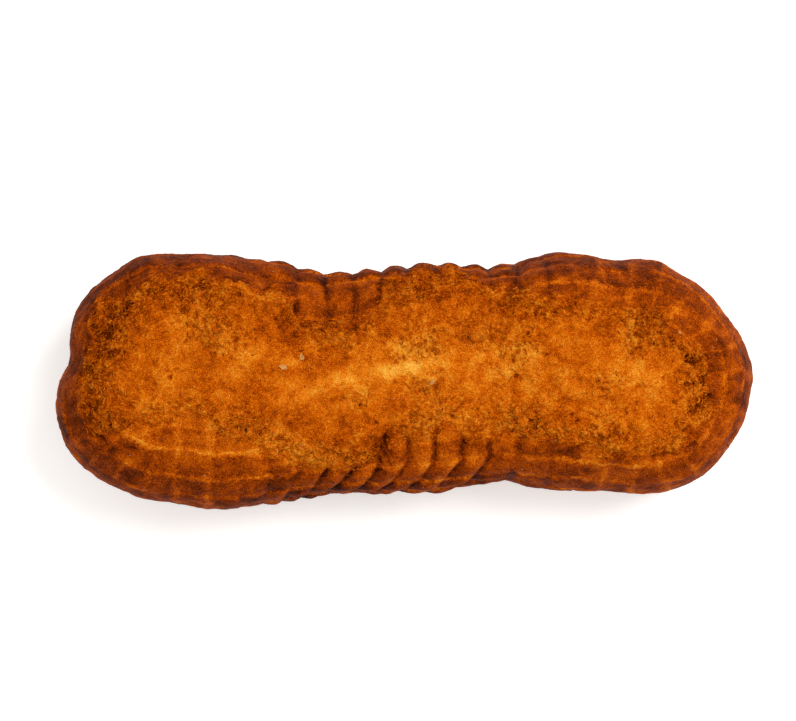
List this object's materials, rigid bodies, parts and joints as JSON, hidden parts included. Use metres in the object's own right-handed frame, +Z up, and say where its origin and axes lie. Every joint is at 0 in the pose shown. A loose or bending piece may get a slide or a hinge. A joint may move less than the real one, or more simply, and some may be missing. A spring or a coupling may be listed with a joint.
{
  "type": "plain cruller",
  "caption": "Stick-shaped fried cake doughnut with rounded ends, a skin of small square scales and a split, crumbly top; it lies flat on its underside.",
  "frame": {"origin": "centre of the stick's box, on the surface that it rests on", "axes": "+X along the stick, +Z up through the split top"},
  "size_m": [0.14, 0.0518, 0.0368],
  "materials": {
    "fried_crust": "fried cake dough: matt golden crumb, darker brown skin with a faint sheen of oil"
  },
  "bodies": {
    "root": {"cruller": "fried_crust"}
  },
  "joints": []
}
